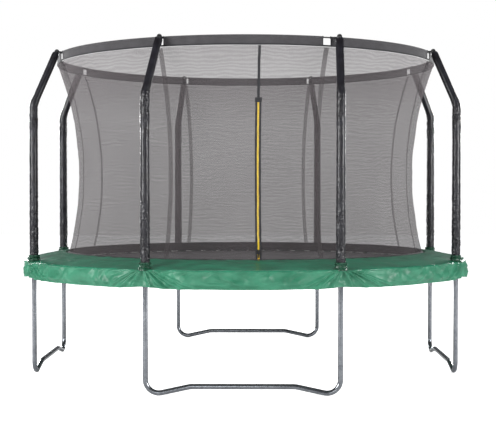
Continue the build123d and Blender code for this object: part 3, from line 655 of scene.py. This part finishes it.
def skirt_shape(angle, t):
    away = nearest_pole(angle)
    number = pole_number(angle)
    drop = t * SKIRT_DROP
    swing = wobbles(number * 3.1, 0 * number, 9.0) * 0.35
    folds = 0 * away
    for start, lean, width, height in FOLDS:
        centre = start + lean * (1 + swing) * drop
        spread = width * (0.55 + 1.3 * t)
        ridge = np.clip(1 - np.abs(away - centre) / (1.9 * spread), 0, 1) ** 1.3
        folds += 1.9 * height * ridge * smooth(t / 0.10)
    valley = -0.007 * np.exp(-((away - 0.004) / (0.012 + 0.02 * t)) ** 2) * smooth(t / 0.1)
    turns = angle / (2 * pi)
    drift = wobbles(angle * 7, t, 6)
    one_way = np.abs((turns * 84 + 0.9 * t + 1.3 * drift) % 1 - 0.5) * 2
    other_way = np.abs((turns * 60 - 0.8 * t + 1.1 * drift) % 1 - 0.5) * 2
    pucker = (one_way * other_way - 0.25) * 0.023 * (1 - 0.75 * t) * smooth(t / 0.09)
    billow = wobbles(angle * 11, t * 1.5, 3) * 0.010 * smooth(t / 0.5)
    billow += wobbles(angle * 34, t * 3, 4) * 0.0045 * smooth(t / 0.3)
    bottom = 0.012 * np.exp(-(away / 0.13) ** 2) + wobbles(angle * 8, 0 * angle, 5) * 0.003
    tuck = -0.018 * smooth((t - 0.72) / 0.28) * (1 - np.exp(-(away / 0.2) ** 2))
    radius = SKIRT_R - 0.001 + 0.009 * smooth(t * 1.3) + folds + valley + pucker + billow + tuck
    z = SKIRT_TOP_Z - 0.004 - drop + bottom * t
    over = np.clip(1 - t / 0.06, 0, 1)
    radius = radius - 0.010 * over ** 2
    z = z + 0.0045 * over
    return radius, z, drop


def make_skirt():
    piece = ring_grid("pad_skirt_cloth", 1600, 44, skirt_shape)
    thicken(piece, 0.0014)
    finish_piece(piece, "frame", SKIRT_GREEN, ["pad_skirt"])

    def hem_shape(angle, t):
        radius, z, drop = skirt_shape(angle, 0 * angle + 0.985)
        around = t * 2 * pi
        return radius + 0.0016 * np.cos(around), z + 0.0055 * np.sin(around), t * 0.02

    hem = ring_grid("pad_skirt_hem", 1600, 10, hem_shape, True)
    finish_piece(hem, "frame", SKIRT_GREEN)


def make_cuffs():
    """Gathered collar of pad cloth round each pole's foot."""
    pieces = []
    for i in range(SECTORS):
        foot, inward = pole_frame(i)
        heights = np.linspace(CUFF_FOOT_Z, CUFF_TOP_Z, 26)
        around = np.linspace(0, 2 * pi, 72, endpoint=False)
        s, a = np.meshgrid(heights, around, indexing="ij")
        t = (s - heights[0]) / (heights[-1] - heights[0])
        flare = 0.0365 + 0.012 * (1 - smooth(t / 0.45)) + 0.004 * smooth((t - 0.72) / 0.28)
        tie = -0.005 * np.exp(-((t - 0.66) / 0.08) ** 2)
        pleats = np.sin(a * 7 + 2.2 * wobbles(np.cos(a) + i, np.sin(a), 0 * a)) * 0.0036
        crumple = wobbles(np.cos(a) * 3 + i * 5, np.sin(a) * 3, s * 60) * 0.0032
        radius = flare + tie + pleats * (0.5 + 0.5 * t) + crumple
        centres = foot + np.array((0, 0, 1.0)) * heights[:, None]
        pieces.append(tube("cuff_part", centres, radius, 72))
        turn = np.linspace(POLES[i], POLES[i] + 2 * pi, 49)
        for lean in (-0.016, 0.016):
            tie = [(foot[0] + CUFF_TIE_R * cos(a), foot[1] + CUFF_TIE_R * sin(a),
                    CUFF_TIE_Z + lean * sin(a - POLES[i] - 0.2)) for a in turn]
            pieces.append(tube("cuff_tie", tie, 0.0034, 8))
    cuffs = joined("pole_cuffs", pieces)
    thicken(cuffs, 0.0012)
    finish_piece(cuffs, "frame", CUFF)


# ---------------------------------------------------------------- mat and springs
def make_mat():
    rings, turns = 70, 288
    angle, r = np.meshgrid(np.linspace(0, 2 * pi, turns, endpoint=False),
                           np.linspace(0.02, MAT_R, rings), indexing="ij")
    hem = smooth((r - (MAT_R - 0.045)) / 0.002) * 0.0006
    z = MAT_Z + hem + wobbles(r * np.cos(angle) * 2, r * np.sin(angle) * 2, 0) * 0.0006 \
        * (r < MAT_R - 0.05)
    points = cylinder_points(r, angle, z)
    uv = points[..., :2].copy()
    piece = grid("mat_cloth", points, uv, True, False)
    place_uv(piece)
    fill_hole(piece)
    thicken(piece, 0.0016)
    finish_piece(piece, "mat_bed", MAT, ["mat"])
    stitches = []
    for radius in (MAT_R - 0.006, MAT_R - 0.040):
        def shape(angle, t, radius=radius):
            around = t * 2 * pi
            dash = 0.0005 + 0.0004 * np.sin(angle * 900)
            return (radius + 0.0009 * np.cos(around),
                    MAT_Z + 0.0018 + dash * np.sin(around), t * 0.005)
        stitches.append(ring_grid("stitch", 2400, 5, shape, True))
    line = joined("mat_stitching", stitches)
    finish_piece(line, "mat_bed", WEBBING)


def place_uv(piece):
    """Flat uv from x and y, in metres."""
    mesh = piece.data
    corner = np.zeros(len(mesh.loops), int)
    mesh.loops.foreach_get("vertex_index", corner)
    co = np.array([v.co[:2] for v in mesh.vertices])
    mesh.uv_layers[0].data.foreach_set("uv", co[corner].ravel().astype(np.float32))


def fill_hole(piece):
    import bmesh
    made = bmesh.new()
    made.from_mesh(piece.data)
    inner = [e for e in made.edges if e.is_boundary and e.verts[0].co.length < 0.95
             and hypot(e.verts[0].co.x, e.verts[0].co.y) < 0.05]
    bmesh.ops.holes_fill(made, edges=inner, sides=0)
    made.to_mesh(piece.data)
    made.free()


def make_springs():
    """Wound springs with a hook at each end."""
    low, high = 1.640, 1.784
    z = 0.871
    turns, wire, coil = 34, 0.0015, 0.0094
    a = np.linspace(0, turns * 2 * pi, turns * 12)
    x = np.linspace(low + 0.002, high - 0.002, len(a))
    taper = np.minimum(1, np.minimum(x - low, high - x) / 0.010 + 0.15)
    winding = np.stack([x, coil * taper * np.cos(a), z + coil * taper * np.sin(a)], -1)
    ring_end = np.array([(1.6195, 0, z - 0.007), (1.6190, 0, z + 0.001), (1.622, 0, z + 0.005),
                         (1.630, 0, z + 0.0045), (1.637, 0, z + 0.001)])
    rail_end = np.array([(high + 0.003, 0, z), (1.797, 0, z), (1.8015, 0, z - 0.002),
                         (1.803, 0, z - 0.008)])
    centres = np.concatenate([ring_end, winding, rail_end])
    source = tube("spring_source", centres, wire, 6)
    base = source.data
    coordinates = np.array([v.co for v in base.vertices])
    bpy.data.objects.remove(source)
    for k in range(SPRINGS):
        angle = FIRST_POLE + (k + 0.5) * 2 * pi / SPRINGS
        c, s = cos(angle), sin(angle)
        mesh = base.copy()
        turned = np.stack([coordinates[:, 0] * c - coordinates[:, 1] * s,
                           coordinates[:, 0] * s + coordinates[:, 1] * c, coordinates[:, 2]], -1)
        mesh.vertices.foreach_set("co", turned.ravel().astype(np.float32))
        piece = bpy.data.objects.new(f"spring_{k + 1:02d}", mesh)
        bpy.context.scene.collection.objects.link(piece)
        finish_piece(piece, None, ZINC, ["springs"])
        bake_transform(piece)


# ---------------------------------------------------------------- zip
def zip_spot(x, z, out):
    """Point on the zip: x along the net, height on the net's curve, and distance outwards."""
    rise = asin((z - NET_WAIST_Z) / NET_CURVE_R)
    radius = NET_WAIST_R + NET_CURVE_R * (1 - cos(rise)) + out * cos(rise)
    height = z - out * sin(rise)
    c, s = cos(ZIP_ANGLE), sin(ZIP_ANGLE)
    return (radius * c - x * s, radius * s + x * c, height)


def zip_wave(z):
    return 0.0030 * wobble(z * 9.0, 3.0) + 0.0014 * wobble(z * 26.0, 8.0)


def zip_strip(name, left, right, low, high, out, thickness):
    """Strip of tape whose edges are functions of height."""
    heights = np.linspace(low, high, max(int((high - low) / 0.008), 4))
    points = np.array([[zip_spot(left(z) + (right(z) - left(z)) * k / 4, z,
                                 out + 0.0006 * sin(pi * k / 4)) for k in range(5)]
                       for z in heights])
    uv = np.array([[(z, 0.006 * k) for k in range(5)] for z in heights])
    piece = grid(name, points, uv)
    thicken(piece, thickness)
    return piece


def make_zip():
    low, high = tape_low.z, trim_low.z
    left = zip_strip("tape_left", lambda z: -0.0220 + zip_wave(z + 4) * 0.6,
                     lambda z: -0.0070 + zip_wave(z), low, high, 0.0024, 0.0012)
    right = zip_strip("tape_right", lambda z: 0.0070 + zip_wave(z),
                      lambda z: 0.0220 + zip_wave(z + 9) * 0.6, low, high, 0.0024, 0.0012)
    tapes = joined("zip_tape_cloth", [left, right])
    finish_piece(tapes, "frame", WEBBING, ["zip_tapes"])
    teeth = []
    pitch = 0.004
    count = int((high - low) / pitch)
    for k in range(count):
        z = low + (k + 0.5) * pitch
        side = 1 if k % 2 else -1
        start, end = -0.0040 * side, 0.0084 * side
        centres = [zip_spot(start + (end - start) * q + zip_wave(z), z, 0.0029)
                   for q in (0, 0.15, 0.85, 1)]
        teeth.append(tube("tooth", centres, [0.0010, 0.0019, 0.0016, 0.0008], 6))
    chain = joined("zip_teeth_rows", teeth)
    finish_piece(chain, "frame", YELLOW, ["zip_chain"])
    patch_high = trim_low.z + ZIP_PATCH_HEIGHT
    patch = zip_strip("zip_patch", lambda z: -ZIP_PATCH_HALF, lambda z: ZIP_PATCH_HALF,
                      high + 0.001, patch_high,
                      0.0028, 0.0028)
    strap = zip_strip("zip_strap", lambda z: zip_wave(z) - ZIP_STRAP_HALF,
                      lambda z: zip_wave(z) + ZIP_STRAP_HALF,
                      patch_high, net_high.z, 0.0022, 0.0014)
    trim = joined("zip_top_trim", [patch, strap])
    finish_piece(trim, "frame", WEBBING, ["zip_trim"])


# ---------------------------------------------------------------- floor, light and camera
def make_stage():
    bpy.ops.mesh.primitive_plane_add(size=60, location=(0, 0, 0))
    floor = bpy.context.object
    floor.name = "floor"
    material = new_material("pale_floor")
    seen = node(material, "LightPath").outputs["Is Camera Ray"]
    surface(material, Base_Color=(0.86, 0.86, 0.86, 1), Roughness=0.75,
            Emission_Color=(1, 1, 1, 1), Emission_Strength=math(material, "MULTIPLY", seen, 0.85))
    floor.data.materials.append(material)
    world = bpy.data.worlds.new("studio")
    bpy.context.scene.world = world
    world.use_nodes = True
    tree = world.node_tree
    backdrop = tree.nodes["Background"]
    backdrop.inputs["Color"].default_value = (1, 1, 1, 1)
    backdrop.inputs["Strength"].default_value = 1.0
    ambient = tree.nodes.new("ShaderNodeBackground")
    ambient.inputs["Color"].default_value = (0.96, 0.98, 1, 1)
    path = tree.nodes.new("ShaderNodeLightPath")
    dimmed = tree.nodes.new("ShaderNodeMath")
    dimmed.operation = "MULTIPLY_ADD"
    dimmed.inputs[1].default_value = -0.28
    dimmed.inputs[2].default_value = 0.38
    tree.links.new(path.outputs["Is Glossy Ray"], dimmed.inputs[0])
    tree.links.new(dimmed.outputs[0], ambient.inputs["Strength"])
    both = tree.nodes.new("ShaderNodeMixShader")
    tree.links.new(path.outputs["Is Camera Ray"], both.inputs["Fac"])
    tree.links.new(ambient.outputs[0], both.inputs[1])
    tree.links.new(backdrop.outputs[0], both.inputs[2])
    tree.links.new(both.outputs[0], tree.nodes["World Output"].inputs["Surface"])
    bpy.context.scene.view_settings.view_transform = "Standard"


def area_light(name, place, target, size, power):
    light = bpy.data.lights.new(name, "AREA")
    light.size = size
    light.energy = power
    lamp = bpy.data.objects.new(name, light)
    lamp.location = place
    lamp.rotation_euler = (Vector(target) - Vector(place)).to_track_quat("-Z", "Y").to_euler()
    bpy.context.scene.collection.objects.link(lamp)


def make_camera():
    lens = bpy.data.cameras.new("camera")
    lens.lens = 83.75
    lens.sensor_width = 36.0
    lens.clip_end = 100
    camera = bpy.data.objects.new("camera", lens)
    camera.location = (0.119, -9.837, 1.435)
    pitch, yaw = 0.0254, -0.0101
    forward = Vector((yaw, 1, 0)).normalized() * cos(pitch) + Vector((0, 0, -sin(pitch)))
    camera.rotation_euler = forward.to_track_quat("-Z", "Y").to_euler()
    bpy.context.scene.collection.objects.link(camera)
    bpy.context.scene.camera = camera


make_camera()
make_stage()
area_light("overhead", (0.0, 0.6, 6.5), (0, 0, 1), 5.0, 180)
area_light("key", (-7.0, -6.2, 3.2), (0, 0, 1.2), 4.0, 720)
area_light("fill", (7.4, -5.8, 2.6), (0, 0, 1.2), 3.4, 560)
area_light("rim_left", (-5.6, 7.0, 3.0), (0, 0, 1.2), 1.6, 330)
area_light("rim_right", (5.6, 7.0, 3.0), (0, 0, 1.2), 1.6, 330)
area_light("front", (-0.9, -11.6, 2.2), (0, 0, 1.0), 2.4, 90)
make_net_wall()
make_foot_band()
make_top_band()
make_sleeves()
make_pad_top()
make_skirt()
make_cuffs()
make_mat()
make_springs()
make_zip()
